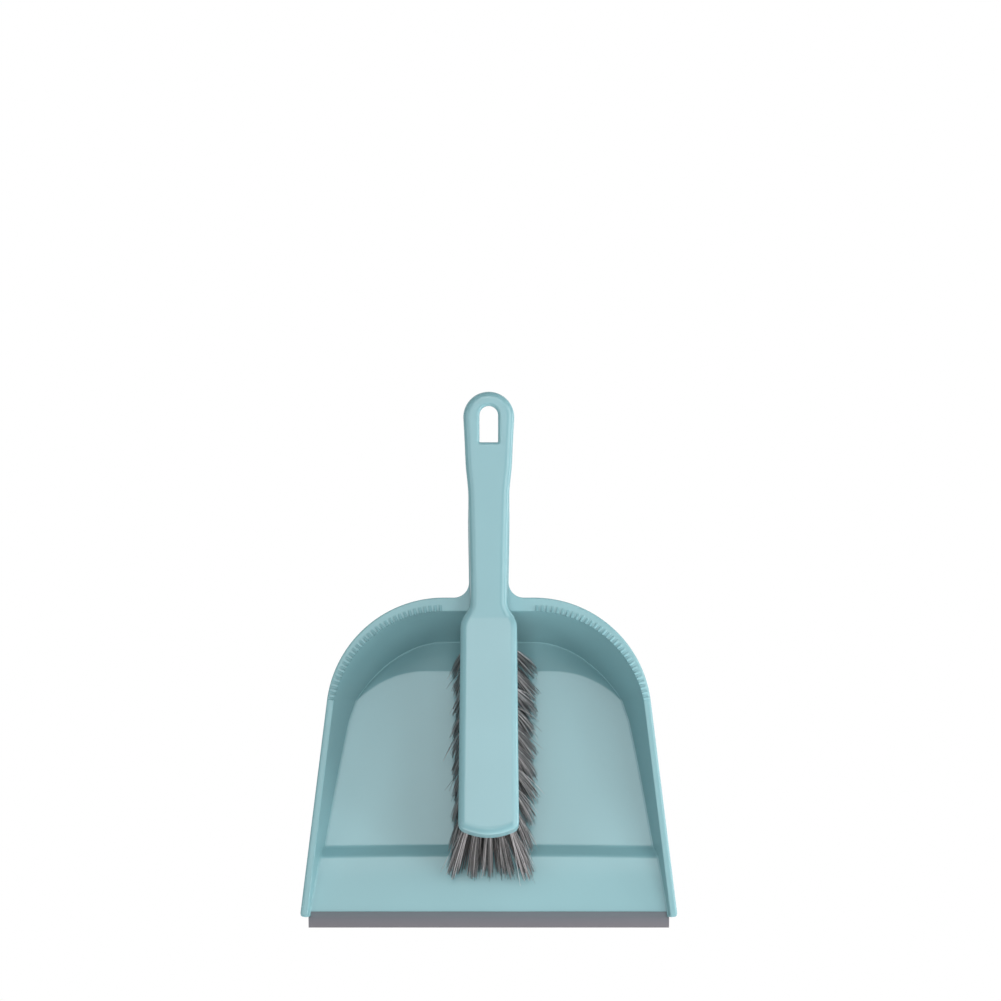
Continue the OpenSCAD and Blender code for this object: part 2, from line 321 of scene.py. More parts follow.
def loop_faces(first, second, count):
    """Quads between two closed loops of count points that start at these indices."""
    return [
        (first + i, first + (i + 1) % count, second + (i + 1) % count, second + i)
        for i in range(count)
    ]


def tube_faces(start, count, size):
    """The faces of a closed tube: count rings of size points from index start, and both ends."""
    faces = []
    for i in range(count - 1):
        faces += loop_faces(start + i * size, start + (i + 1) * size, size)
    last = start + (count - 1) * size
    return faces + [tuple(range(start, start + size)), tuple(range(last, last + size))]


# ---- Pan shell ----


def floor_depth(z):
    return FOOT_DEPTH + (z - FOOT_Z) * FLOOR_SLOPE


def ramp_at(z):
    share = max(0.0, (z - FRONT_Z) / (CREST_Z - FRONT_Z))
    return lerp(RAMP_DEPTH, CREST_DEPTH, share ** RAMP_POWER)


def centre_line():
    """(z, depth) along the middle of the pan, from the ramp's front over the step to the floor."""
    near_front = [0, 0.35, 0.9, 1.6, 2.6, 4, 6]
    ramp = [FRONT_Z + step for step in near_front + [9.5, 13.5, 18, 22.5, 26.5, 30]]
    points = [(z, ramp_at(z)) for z in ramp]
    crest, foot = np.array((CREST_Z, CREST_DEPTH)), np.array((FOOT_Z, FOOT_DEPTH))
    along = unit(foot - crest)
    before_crest = (CREST_Z - CREST_ROUND, ramp_at(CREST_Z - CREST_ROUND))
    after_foot = (FOOT_Z + FOOT_ROUND, floor_depth(FOOT_Z + FOOT_ROUND))
    points += [tuple(p) for p in bezier(before_crest, crest, crest + along * CREST_ROUND, 7)]
    points += [tuple(p) for p in bezier(foot - along * FOOT_ROUND, foot, after_foot, 6)]
    return points


CENTRE = centre_line()
CENTRE_Z = [p[0] for p in CENTRE]
CENTRE_DEPTH = [p[1] for p in CENTRE]


def face_depth(z):
    if z >= CENTRE_Z[-1]:
        return floor_depth(z)
    return float(np.interp(z, CENTRE_Z, CENTRE_DEPTH))


def wall_foot(w, down, control, e, floor_end, ledge):
    """The foot of a wall from w over a narrow ledge and the crescent to e on the floor."""
    start = w + (ledge, 0)
    crescent = bezier(start, control, e, CRESCENT_STEPS)
    first = unit(crescent[2] - crescent[0])
    last = unit(crescent[-1] - crescent[-3])
    # A cut is at most half a step of the crescent, because a longer one would fold the mesh.
    first_cut = min(LEDGE_CUT, 0.5 * np.linalg.norm(crescent[1] - start))
    last_cut = min(FLOOR_CUT, 0.5 * np.linalg.norm(crescent[-2] - e))
    path = [w - down * WALL_STOP, w - down * FOOT_CUT, w + (ledge * 0.2, 0),
            w + (ledge * 0.8, 0), start + first * first_cut]
    path += crescent[1:-1]
    return path + bezier(e - last * last_cut, e, lerp(e, floor_end, FLOOR_SHARE), 3) + [floor_end]


def profile(flange, rolled, w, control, e, floor_end, tilt_gain):
    """Paired points of the visible and the hidden face, each (distance from the edge, depth).

    The floor slopes across the profile's plane as well, so tilt_gain is how much further than
    WALL the hidden face lies in that plane.
    """
    corner = np.array([flange, 0.0])
    w, e, floor_end = np.array(w, float), np.array(e, float), np.array(floor_end, float)
    down = unit(w - corner)
    edge = bezier((0, ROLL_DEPTH), (0, 0), (rolled, 0), 5)
    turn = bezier(corner - (FLANGE_TURN, 0), corner, corner + down * FLANGE_TURN, 4)
    wall_start, wall_end = corner + down * FLANGE_TURN, w - down * WALL_STOP
    wall = [lerp(wall_start, wall_end, t) for t in (0.25, 0.5, 0.75)]
    visible = edge + turn + wall + wall_foot(w, down, control, e, floor_end, LEDGE)
    slope = down[0] / down[1]
    under_corner = np.array([flange + WALL * slope - WALL * math.hypot(1, slope), WALL])
    edge_under = bezier((0, HIDDEN_ROLL_DEPTH), (0, WALL), (HIDDEN_ROLL, WALL), 5)
    turn_under = bezier(under_corner - (HIDDEN_TURN, 0), under_corner,
                        under_corner + down * HIDDEN_TURN, 4)
    body = wall + wall_foot(w, down, control, e, floor_end, HIDDEN_LEDGE)
    points = np.array([wall_start] + body)
    along = directions(points)
    normal = np.stack([-along[:, 1], along[:, 0]], axis=1)
    hidden_body = [p + n * WALL * tilt_gain for p, n in zip(points[1:], normal[1:])]
    return visible, edge_under + turn_under + hidden_body


def station(edge, inward, visible, hidden, squeeze=1.0, inset=0.0, flange=FLANGE_SIDE):
    """One ring of the shell: points of the visible face, and the paired points behind them.

    squeeze thins the ring about its middle, and inset moves its outer edge inwards.
    """
    ring = []
    for front, back in zip(visible, hidden):
        middle = (front + back) / 2
        for point in (middle + (front - middle) * squeeze, middle + (back - middle) * squeeze):
            offset = point[0] + inset * max(0.0, 1 - point[0] / (flange - DRAW_MARGIN))
            ring.append((edge[0] + inward[0] * offset, point[1], edge[1] + inward[1] * offset))
    return ring


SIDE_FLOOR_OFFSET = ((FLANGE_SIDE + BLEND + DRAFT_SLOPE * floor_depth(TANGENT_Z))
                     / (1 + DRAFT_SLOPE * math.sin(TAPER) * FLOOR_SLOPE))
SIDE_WALL_OFFSET = SIDE_FLOOR_OFFSET - BLEND - BLEND_RISE * DRAFT_SLOPE
SIDE_TOP_Z = TANGENT_Z - SIDE_FLOOR_OFFSET * math.sin(TAPER)


def side_relief(z):
    """How far the foot of a side wall stands back from its draft line, most near the crescent."""
    below = SIDE_TOP_Z - z
    fading = 1 - smooth((below - RELIEF_HOLDS) / RELIEF_FADES)
    return RELIEF * smooth(below / RELIEF_GROWS) * fading


def side_station(z, depth):
    rise = min(BLEND_RISE, depth * BLEND_SHARE)
    corner = FLANGE_SIDE + depth * DRAFT_SLOPE - side_relief(z)
    end = corner + BLEND + FLOOR_LAND
    z_rim = z + end * math.sin(TAPER)
    x_rim = TANGENT_X + (TANGENT_Z - z_rim) * math.tan(TAPER)
    e_depth = face_depth(z + FLOOR_LAND * math.sin(TAPER))
    visible, hidden = profile(
        FLANGE_SIDE, ROLL_SIDE, (corner - rise * DRAFT_SLOPE, depth - rise), (corner, depth),
        (corner + BLEND, e_depth), (end, depth), math.hypot(1, FLOOR_SLOPE))
    from_front = z - FRONT_Z
    thin, thin_length = FRONT_THIN
    draw, draw_length = FRONT_DRAW
    squeeze = 1 - thin * (1 - smooth(from_front / thin_length))
    inset = draw * (1 - math.sqrt(1 - max(0.0, 1 - from_front / draw_length) ** 2))
    return station((x_rim, z_rim), (-math.cos(TAPER), -math.sin(TAPER)),
                   visible, hidden, squeeze, inset)


def corner_flange(u):
    """The flange's width at a share u of the way round a back corner, from the side."""
    return lerp(FLANGE_SIDE, FLANGE_BACK, ease(u, 2))


def corner_profile(u, z_rim, inward_z):
    """The flange and the profile at a share u of the way round a back corner, from the side."""
    flange = corner_flange(u)
    e_offset = lerp(SIDE_FLOOR_OFFSET, CRESCENT_FLOOR_OFFSET, ease(u, 2))
    w = np.array([lerp(SIDE_WALL_OFFSET, CRESCENT_WALL[0], ease(u, 3)),
                  lerp(floor_depth(SIDE_TOP_Z) - BLEND_RISE, CRESCENT_WALL[1], u)])
    e = np.array([e_offset, floor_depth(z_rim + inward_z * e_offset)])
    end_offset = e_offset + FLOOR_LAND
    floor_end = (end_offset, floor_depth(z_rim + inward_z * end_offset))
    across = unit(e - w)
    bulged = (w + e) / 2 + CRESCENT_BULGE * np.array([-across[1], across[0]])
    follows_wall = np.array([w[0] + DRAFT_SLOPE * (e[1] - w[1]), e[1]])
    control = lerp(follows_wall, bulged, ease(u, 4))
    gain = math.hypot(1, FLOOR_SLOPE) / math.hypot(1, FLOOR_SLOPE * inward_z)
    rolled = lerp(ROLL_SIDE, ROLL_BACK, ease(u, 2))
    return flange, profile(flange, rolled, w, control, e, floor_end, gain)


def corner_station(u):
    angle = lerp(TAPER, math.pi / 2, u)
    inward = (-math.cos(angle), -math.sin(angle))
    z_rim = CORNER_Z + CORNER_R * math.sin(angle)
    flange, (visible, hidden) = corner_profile(u, z_rim, inward[1])
    return station((BACK_HALF + CORNER_R * math.cos(angle), z_rim), inward, visible, hidden,
                   flange=flange)


def back_station(x):
    flange, (visible, hidden) = corner_profile(1, RIM_Z, -1)
    return station((x, RIM_Z), (0, -1), visible, hidden, flange=flange)


CORNER_ROWS = 44
FLOOR_ROWS = 14
COLUMNS = 14


def pan_shell():
    """The pan without its handle and comb, as rings round its rim joined by a floor grid."""
    floor_rows = [lerp(CENTRE_Z[-1], SIDE_TOP_Z, i / FLOOR_ROWS) for i in range(1, FLOOR_ROWS)]
    right = [side_station(z, depth) for z, depth in CENTRE]
    right += [side_station(z, floor_depth(z)) for z in floor_rows]
    right += [corner_station(i / CORNER_ROWS) for i in range(CORNER_ROWS + 1)]
    left = [[(-x, y, z) for x, y, z in ring] for ring in right]
    middle = [back_station(lerp(-BACK_HALF, BACK_HALF, j / (COLUMNS + 1)))
              for j in range(1, COLUMNS + 1)]
    rings = left + middle + right[::-1]
    half, count, size = len(right), len(left) + len(middle) + len(right), len(right[0])
    points = [np.array(p) for ring in rings for p in ring]

    def floor_index(row, column, face):
        """The floor point of a row on the visible (0) or hidden (1) face."""
        if column == 0:
            return row * size + size - 2 + face
        if column == COLUMNS + 1:
            return (count - 1 - row) * size + size - 2 + face
        if row == half - 1:
            return (row + column) * size + size - 2 + face
        return count * size + (face * (half - 1) + row) * COLUMNS + column - 1

    for face in (0, 1):
        for row in range(half - 1):
            a = points[row * size + size - 2 + face]
            b = points[(count - 1 - row) * size + size - 2 + face]
            points += [lerp(a, b, j / (COLUMNS + 1)) for j in range(1, COLUMNS + 1)]

    faces = []
    for i in range(count - 1):
        here, after = i * size, (i + 1) * size
        for j in range(0, size - 2, 2):
            faces.append((here + j, after + j, after + j + 2, here + j + 2))
            faces.append((here + j + 1, here + j + 3, after + j + 3, after + j + 1))
        faces.append((here, here + 1, after + 1, after))
    for end in (0, (count - 1) * size):
        faces += [(end + j, end + j + 2, end + j + 3, end + j + 1) for j in range(0, size - 2, 2)]
    for row in range(half - 1):
        for j in range(COLUMNS + 1):
            for face in (0, 1):
                faces.append((floor_index(row, j, face), floor_index(row, j + 1, face),
                              floor_index(row + 1, j + 1, face), floor_index(row + 1, j, face)))
    for j in range(COLUMNS + 1):
        faces.append((floor_index(0, j, 0), floor_index(0, j + 1, 0),
                      floor_index(0, j + 1, 1), floor_index(0, j, 1)))
    return make_object("pan_moulding", [bowed(p) for p in points], faces)


def bowed(point):
    """A point of the shell, with the step's crest arched up a little in the pan's middle."""
    x, y, z = point
    if z < CREST_Z:
        weight = smooth((z - FRONT_Z) / (CREST_Z - FRONT_Z))
    else:
        weight = 1 - smooth((z - FOOT_Z) / BOW_FADE)
    edge = TANGENT_X + (TANGENT_Z - z) * math.tan(TAPER) - FLANGE_SIDE - BOW_MARGIN
    rise = CREST_BOW * weight * max(0.0, 1 - (x / edge) ** 2) if y > BOW_MARGIN else 0.0
    slide = rise * FLOOR_SLOPE if z > FOOT_Z else 0.0
    return (x, y + slide, z + rise)


def comb_tooth(angle, side):
    """One tooth of the comb: a wedge that rises inwards across the flange, with soft edges."""
    u = (angle - TAPER) / (math.pi / 2 - TAPER)
    inner = CORNER_R - corner_flange(u) + TOOTH_INSIDE
    sections = []
    for step in np.linspace(0, 1, 7):
        radius = inner + TOOTH_LEN * (1 - step)
        height = TOOTH_H * (0.1 + 0.9 * step ** 1.25)
        sections.append((radius, height))
    # The last two sections round the high end off where it meets the wall.
    sections.append((inner - 0.18, TOOTH_H * 0.78))
    sections.append((inner - 0.22, TOOTH_H * 0.3))
    across = (math.cos(angle), math.sin(angle))
    along = (-math.sin(angle), math.cos(angle))
    points = []
    for radius, height in sections:
        for place, level in TOOTH_SHAPE:
            depth = -level * height if level > 0 else 0.35
            x = BACK_HALF + across[0] * radius + along[0] * place * TOOTH_W
            z = CORNER_Z + across[1] * radius + along[1] * place * TOOTH_W
            points.append((side * x, depth, z))
    return points, tube_faces(0, len(sections), len(TOOTH_SHAPE))


def comb():
    """The teeth of both combs as one tool, to be joined with the shell."""
    points, faces = [], []
    step = TOOTH_PITCH / CORNER_R
    for side in (-1, 1):
        for i in range(int((COMB_END - COMB_START) / step) + 1):
            tooth_points, tooth_faces = comb_tooth(COMB_START + i * step, side)
            faces += [tuple(len(points) + k for k in face) for face in tooth_faces]
            points += tooth_points
    return make_object("comb", points, faces)


# ---- Handles ----

# Half width of the brush along its length: the handle, its shoulder and the block
HALF_KEYS = [(HEAD_Z, HEAD_R), (-17, 14.95), (-32, 14.25), (-40, 13.4), (-47, 12.8), (-64, 12.3),
             (-88, 11.75), (-106, 11.5), (-114, 11.4), (-118, 11.75), (-121, 13.3), (-124, 15.4),
             (-126.5, 16.85), (-129.5, 17.45), (-134, 17.55), (-146, 17.6)]
BLOCK_END = FOLD_Z - BLOCK_LEN


def half_width(place):
    if place >= HALF_KEYS[-1][0]:
        return hermite(HALF_KEYS, place)
    return lerp(HALF_KEYS[-1][1], BLOCK_END_HALF,
                (place - HALF_KEYS[-1][0]) / (BLOCK_END + END_BOW - HALF_KEYS[-1][0]))


def head_arc(radius, steps=26):
    """(x, place) from the top of the round end down to its widest point."""
    return [(radius * math.sin(a), HEAD_Z + radius * math.cos(a))
            for a in np.linspace(0, math.pi / 2, steps + 1)]


def handle_side(end):
    """(x, place) down the right side of the handle to end, with close rows at its shoulder."""
    fold = [FOLD_Z + FOLD_ROUND * t for t in (1, 0.33, -0.33, -1)]
    places = list(np.arange(HEAD_Z - ROW_STEP, RIM_Z - 1, -ROW_STEP))
    places += [z for z in np.arange(RIM_Z - 2, FOLD_Z - 10, -FINE_STEP)
               if abs(z - FOLD_Z) > FINE_STEP]
    places += list(np.arange(FOLD_Z - 12, BLOCK_END, -ROW_STEP)) + fold
    side = [(half_width(z), z) for z in sorted(places, reverse=True) if z > end + 0.3]
    return side + [(half_width(end), end)]


def block_side():
    """(x, place) round the lower right corner of the block to the middle of its bowed end."""
    top = BLOCK_END + BLOCK_CORNER + END_BOW
    width = half_width(top)
    corner = [(width - BLOCK_CORNER * (1 - math.cos(a)), top - BLOCK_CORNER * math.sin(a))
              for a in np.radians(np.linspace(0, 76, 12))[1:]]
    last_x, last_z = corner[-1]
    bow = [(last_x * (1 - t), lerp(BLOCK_END, last_z, (1 - t) ** 2))
           for t in np.linspace(0, 1, 12)[1:]]
    return corner + bow


ON_AXIS = 1e-6


def inset_outline(right, inset):
    """The right half of an outline, moved inwards by inset, from its top to its bottom."""
    points = np.array(right)
    along = directions(points)
    if abs(points[0][0]) < ON_AXIS:
        along[0] = (1, 0)
    if abs(points[-1][0]) < ON_AXIS:
        along[-1] = (-1, 0)
    inward = np.stack([along[:, 1], -along[:, 0]], axis=1)
    moved = points + inward * inset
    moved[:, 0] = np.maximum(moved[:, 0], 0)
    return [tuple(p) for p in moved]


def loft(name, right, levels, place, columns=6, grid=True):
    """A closed solid from the right half of an outline that starts, and may end, on x = 0.

    Each level is (height, inset), and place turns (x, place along, height) into a point. The
    first and last levels are filled with rows of quads that join the two sides, or with one face
    each where grid is False.
    """
    closed_end = abs(right[-1][0]) < ON_AXIS
    points, faces, loops = [], [], []
    for height, inset in levels:
        side = inset_outline(right, inset)
        mirrored = side[-2:0:-1] if closed_end else side[:0:-1]
        ring = side + [(-x, s) for x, s in mirrored]
        loops.append(len(points))
        points += [place(x, s, height) for x, s in ring]
    size = len(ring)
    for first, second in zip(loops, loops[1:]):
        faces += loop_faces(first, second, size)
    rows = len(right)
    for level, start in ((levels[0], loops[0]), (levels[-1], loops[-1])):
        height, inset = level
        side = inset_outline(right, inset)
        if not grid:
            faces.append(tuple(range(start, start + size)))
            continue
        grid_rows = [[start]]
        last = rows - 1 if closed_end else rows
        for i in range(1, last):
            x, s = side[i]
            inside = []
            for j in range(1, columns):
                inside.append(len(points))
                points.append(place(x * (1 - 2 * j / columns), s, height))
            grid_rows.append([start + i] + inside + [start + size - i])
        if closed_end:
            grid_rows.append([start + rows - 1])
        for upper, lower in zip(grid_rows, grid_rows[1:]):
            if len(upper) == 1:
                faces += [(upper[0], lower[j], lower[j + 1]) for j in range(columns)]
            elif len(lower) == 1:
                faces += [(upper[j], lower[0], upper[j + 1]) for j in range(columns)]
            else:
                faces += [(upper[j], lower[j], lower[j + 1], upper[j + 1])
                          for j in range(columns)]
    return make_object(name, points, faces)


def rounded_levels(low, high, low_round, high_round, steps=6):
    """(height, inset) from low to high. The low end's edge is a quarter ellipse of low_round,
    (height, width), and the high end's is a quarter round of high_round.
    """
    tall, wide = low_round
    start = [(low + tall * (1 - math.cos(a)), wide * (1 - math.sin(a)))
             for a in np.linspace(0, math.pi / 2, steps + 1)]
    end = [(high - high_round * (1 - math.cos(a)), high_round * (1 - math.sin(a)))
           for a in np.linspace(math.pi / 2, 0, steps // 2 + 1)]
    return start + end


def upright(x, z, y):
    return (x, y, z)


def slot_outline(grow=0.0):
    """The slot's outline, round at the top and square at the bottom, grown by grow."""
    radius = SLOT_R + grow
    arc = [(radius * math.sin(a), radius * math.cos(a)) for a in np.linspace(0, math.pi / 2, 17)]
    bottom_corner = SLOT_CORNER + grow
    low = -SLOT_DROP - grow
    corner = [(radius - bottom_corner * (1 - math.cos(a)),
               low + bottom_corner - bottom_corner * math.sin(a))
              for a in np.linspace(0, math.pi / 2, 6)]
    return arc + corner + [(0.0, low)]


def slot_cutter(face_y, back_y, face_round, back_round=0.0):
    """A prism through the slot that flares out in a quarter round at its face and its back."""
    levels = [(face_y - 2, face_round + 0.05), (face_y - 0.01, face_round + 0.05)]
    levels += [(face_y + face_round * (1 - math.cos(a)), face_round * (1 - math.sin(a)))
               for a in np.linspace(0, math.pi / 2, 8)]
    levels += [(back_y - back_round * (1 - math.sin(a)), back_round * (1 - math.cos(a)))
               for a in np.linspace(0, math.pi / 2, 5)] if back_round else []
    levels += [(back_y + 2, back_round)]
    points = []
    for y, grow in levels:
        right = slot_outline(grow)
        ring = right + [(-x, z) for x, z in right[-2:0:-1]]
        points += [(x, y, z) for x, z in ring]
    return make_object("slot_cutter", points, tube_faces(0, len(levels), len(ring)))


def plate_side():
    """The right half of the flat plate behind the handle, down to where it meets the rim."""
    arc = head_arc(HEAD_R - 0.3)
    lip_keys = [(HEAD_Z, -0.3), (HEAD_Z - 40, -0.1), (HEAD_Z - 70, 0.7), (RIM_Z, 0.8)]
    top = RIM_Z + NECK_FILLET
    side = [(half_width(z) + hermite(lip_keys, z), z)
            for z in np.linspace(HEAD_Z, top, 42)[1:]]
    x, z = side[-1]
    fillet = [(x + NECK_FILLET * (1 - math.cos(a)), z - NECK_FILLET * math.sin(a))
              for a in np.radians(np.linspace(0, 86, 14))[1:]]
    end_x, end_z = fillet[-1]
    return arc + side + fillet + [(end_x + 0.4, end_z - 1.4), (end_x - 1.5, end_z - 3.2)]


def pan_handle():
    """The flat plate with the raised hat on it, hollowed into cells between the ribs."""
    edge = (PLATE_ROUND, PLATE_ROUND)
    plate = loft("plate", plate_side(),
                 rounded_levels(-PROUD, WALL + PROUD, edge, 0.5), upright, grid=False)
    hat_right = head_arc(HEAD_R) + handle_side(RIM_Z - 5)
    edge = (HAT_ROUND, HAT_ROUND)
    hat = loft("hat", inset_outline(hat_right, HAT_INSET),
               rounded_levels(-HAT_CROWN, WALL / 2, edge, 0.01), upright, grid=False)
    boolean(plate, hat, "UNION")
    inside = inset_outline(hat_right, HAT_INSET + WALL)
    for upper, lower in zip((None, *RIB_Z), (*RIB_Z, RIM_Z + 1)):
        if upper is None:
            right = [p for p in inside if p[1] > lower + RIB_HALF]
        else:
            right = [(0.0, upper - RIB_HALF)]
            right += [(half_width(z) - HAT_INSET - WALL, z)
                      for z in np.linspace(upper - RIB_HALF, lower + RIB_HALF, 10)]
        right = right + [(0.0, lower + RIB_HALF)]
        boolean(plate, loft("cell", right, [(WALL - HAT_CROWN, 0), (WALL + 1, 0)],
                            upright, grid=False), "DIFFERENCE")
    return boolean(plate, slot_cutter(-HAT_CROWN, WALL, HAT_FLARE, HAT_FLARE), "DIFFERENCE")


def pan_moulding(material):
    """The shell, the handle and the combs in one piece."""
    shell = pan_shell()
    boolean(shell, pan_handle(), "UNION")
    boolean(shell, comb(), "UNION")
    shade(shell)
    return finish_piece(shell, "pan", "pan_plastic", material, "pan_body")


# ---- Brush ----

BLOCK_DOWN = np.array([-math.sin(BLOCK_TILT), -math.cos(BLOCK_TILT)])
FOLD_POINT = np.array([-CROWN, FOLD_Z])


def folded(x, place, height):
    """A point of the brush: place runs down its face, which folds forward at the block."""
    from_fold = place - FOLD_Z
    t = (FOLD_ROUND - from_fold) / (2 * FOLD_ROUND)
    up = FOLD_POINT + (0, FOLD_ROUND)
    down = FOLD_POINT + BLOCK_DOWN * FOLD_ROUND
    if t <= 0:
        base, along = FOLD_POINT + (0, from_fold), np.array([0.0, -1.0])
    elif t >= 1:
        base, along = FOLD_POINT - BLOCK_DOWN * from_fold, BLOCK_DOWN
    else:
        base = up * (1 - t) ** 2 + FOLD_POINT * 2 * t * (1 - t) + down * t * t
        along = (FOLD_POINT - up) * (1 - t) + (down - FOLD_POINT) * t
        along = unit(along)
    thinner = (CROWN - NEST_GAP - BLOCK_T) * smooth((THIN_HALF - from_fold) / (2 * THIN_HALF))
    level = height * (1 - thinner / (CROWN - NEST_GAP))
    y, z = base + np.array([-along[1], along[0]]) * level
    return (x, y, z)


def tuft_matrix(row, index):
    """The place and lean of a tuft, with +Z along its bristles and its mouth at the origin."""
    x = tuft_x(row, index)
    end_lean = FAN_END * max(0, row - len(tuft_rows) + FAN_ROWS) / FAN_ROWS
    lean_share = min(1, (len(tuft_rows) - row) / LEAN_ROWS)
    sideways = LEAN * lean_share + FAN_SIDE * x / (2 * TUFT_PITCH)
    block = Matrix.Translation((0, -CROWN, FOLD_Z)) @ Matrix.Rotation(-BLOCK_TILT, 4, "X")
    mouth = Matrix.Translation((x, BLOCK_T, -(FIRST_ROW + (row - 1) * ROW_PITCH)))
    lean = (Matrix.Rotation(math.radians(-end_lean), 4, "X")
            @ Matrix.Rotation(math.radians(-sideways), 4, "Z")
            @ Matrix.Rotation(math.radians(-90), 4, "X"))
    return block @ mouth @ lean


def tufts_in(row):
    return 5 if row % 2 == 1 else 4


def tuft_x(row, index):
    return (index - (tufts_in(row) - 1) / 2) * TUFT_PITCH


def tuft_holes():
    """All the tufts' holes as one cutter, each with a small countersink."""
    points, faces = [], []
    sides = 20
    wide = HOLE_R + SINK_WIDTH
    rings = [(-HOLE_DEPTH, HOLE_R), (-SINK_DEPTH, HOLE_R), (0.5, wide), (3, wide)]
    for row in range(1, len(tuft_rows) + 1):
        for index in range(tufts_in(row)):
            matrix = tuft_matrix(row, index)
            faces += tube_faces(len(points), len(rings), sides)
            for z, radius in rings:
                for a in np.linspace(0, 2 * math.pi, sides, endpoint=False):
                    spot = matrix @ Vector((radius * math.cos(a), radius * math.sin(a), z))
                    points.append(tuple(spot))
    return make_object("holes", points, faces)


def brush_moulding(material):
    """The block and the hollow handle in one piece, with the slot and the tufts' holes."""
    right = head_arc(HEAD_R) + handle_side(BLOCK_END + BLOCK_CORNER + END_BOW) + block_side()
    body = loft("brush_moulding", right,
                rounded_levels(0, CROWN - NEST_GAP, EDGE_ROUND, BACK_ROUND, 8), folded)
    cavity_right = inset_outline(head_arc(HEAD_R) + handle_side(RIM_Z - 9), SHELL)
    levels = [(SHELL - CROWN, CAVITY_CORNER), (SHELL - CROWN + CAVITY_CORNER, 0), (1, 0)]
    cavity = loft("cavity", cavity_right + [(0.0, cavity_right[-1][1])], levels,
                  upright, grid=False)
    boolean(body, cavity, "DIFFERENCE")
    boolean(body, slot_cutter(-CROWN, -NEST_GAP, SLOT_FLARE), "DIFFERENCE")
    boolean(body, tuft_holes(), "DIFFERENCE")
    shade(body)
    return finish_piece(body, "brush", "brush_plastic", material, "brush_body")


# ---- Bristles ----

FILAMENTS = 84
STRANDS = 9
STRAND_PULL = 0.4
FILAMENT_R = 0.23
SEGMENTS = 6
SIDES = 4
ROOT_Z = -3.0
ROOT_ROOM = 0.32
THINNING = 0.25
TIP_SHARE = 0.45
GOLDEN_ANGLE = 2.39996
FIRST_SEED = 100
# How much wider a tuft is at its tips than at its root, sideways and along the block
SPLAY = (2.1, 3.1)
# How far the tips sag down the block at its top, past its middle and at its end
DROOP = (3.0, 7.0, 1.8)
DROOP_ROWS = 13
SIDE_WEAR = 0.5
# How much more the rows of four spread sideways, and sag at the end
EVEN_SPREAD = 3.2
EVEN_END_DROOP = 7
# Scatter of each tuft, of each fibre's tip and bend, and of the few thin stray fibres' tips
CLUMP_SIDE = 0.6
CLUMP_DOWN = 0.7
LOOSE = 0.45
BEND_LOOSE = 0.35
STRAY_SHARE = 0.14
STRAY_LOOSE = 2.8
STRAY_THIN = 0.6
# How much shorter than BRISTLE_LEN the fibres are: on average, scatter, and in the last row
SHORTER = 0.7
SHORTER_LOOSE = 0.8
END_TRIM = 1.5


def filament(matrix, root, tip, length, bend, radius):
    """The points of one bristle: rings along a gentle curve from its root to its tip."""
    points = []
    for i, t in enumerate(np.linspace(0, 1, SEGMENTS + 1)):
        centre = Vector((
            lerp(root[0], tip[0], t) + bend[0] * t * t,
            lerp(root[1], tip[1], t) + bend[1] * t * t,
            lerp(ROOT_Z, length, t) - 0.5 * (bend[0] ** 2 + bend[1] ** 2) / length * t * t))
        thick = radius * (1 - THINNING * t) if i < SEGMENTS else radius * TIP_SHARE
        for side in range(SIDES):
            a = 2 * math.pi * side / SIDES + 0.4
            points.append(matrix @ (centre + Vector((thick * math.cos(a), thick * math.sin(a), 0))))
    return points


def settled(row, index):
    """How far a tuft's tips have been worn sideways and down the block."""
    u = tuft_x(row, index) / (2 * TUFT_PITCH)
    sideways = SIDE_WEAR * (1 - u)
    at_top, at_middle, at_end = DROOP
    down = lerp(at_top, at_middle, smooth((row - 2) / DROOP_ROWS))
    end_share = max(0, row - len(tuft_rows) + FAN_ROWS - 1) / (FAN_ROWS - 1)
    down = lerp(down, at_end, end_share)
    if tufts_in(row) == 4:
        sideways += EVEN_SPREAD * u
        down += EVEN_END_DROOP * end_share
    return sideways, down


def strand_centres(draw):
    """Where the strands that a tuft parts into end, as fractions of its radius."""
    turn = draw.uniform(0, 2 * math.pi)
    centres = [(draw.gauss(0, 0.08), draw.gauss(0, 0.08))]
    for i in range(1, STRANDS):
        a = turn + 2 * math.pi * i / (STRANDS - 1) + draw.gauss(0, 0.2)
        reach = draw.uniform(0.6, 0.95)
        centres.append((reach * math.cos(a), reach * math.sin(a)))
    return centres


